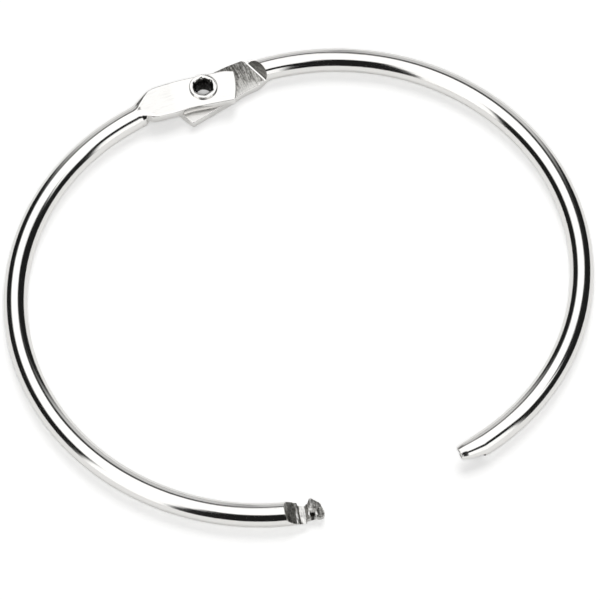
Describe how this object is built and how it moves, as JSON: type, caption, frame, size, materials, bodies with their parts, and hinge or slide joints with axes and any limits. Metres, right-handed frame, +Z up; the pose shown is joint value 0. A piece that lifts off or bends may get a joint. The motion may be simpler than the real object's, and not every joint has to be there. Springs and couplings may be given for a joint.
{
  "type": "binder ring",
  "caption": "Hinged round wire ring with a hollow eyelet rivet and a hook and socket lock, shown open, for holding punched sheets.",
  "frame": {"origin": "on the hinge axis, in the middle of the wire's thickness, at the centre of the eyelet's bore", "axes": "+Z up along the hinge axis; the hook half starts towards -X and bends round to -Y; the socket half starts towards +X, swung open about +Z"},
  "size_m": [0.0973, 0.0865, 0.0038],
  "materials": {
    "hook_steel": "bright nickel plate on round steel wire, smooth pressed blade, rough sheared hook",
    "socket_steel": "bright nickel plate on round steel wire, rough sheared flat on the blade",
    "eyelet_steel": "bright nickel plate, rolled and slightly split mouth"
  },
  "bodies": {
    "hook_body": {"hook_half": "hook_steel", "eyelet": "eyelet_steel"},
    "socket_body": {"socket_half": "socket_steel"}
  },
  "joints": [
    {"name": "hinge", "type": "hinge", "parent": "hook_body", "child": "socket_body", "pos_m": [0, 0, 0], "axis": [0, 0, 1], "range_deg": [-19.5, 145]}
  ]
}
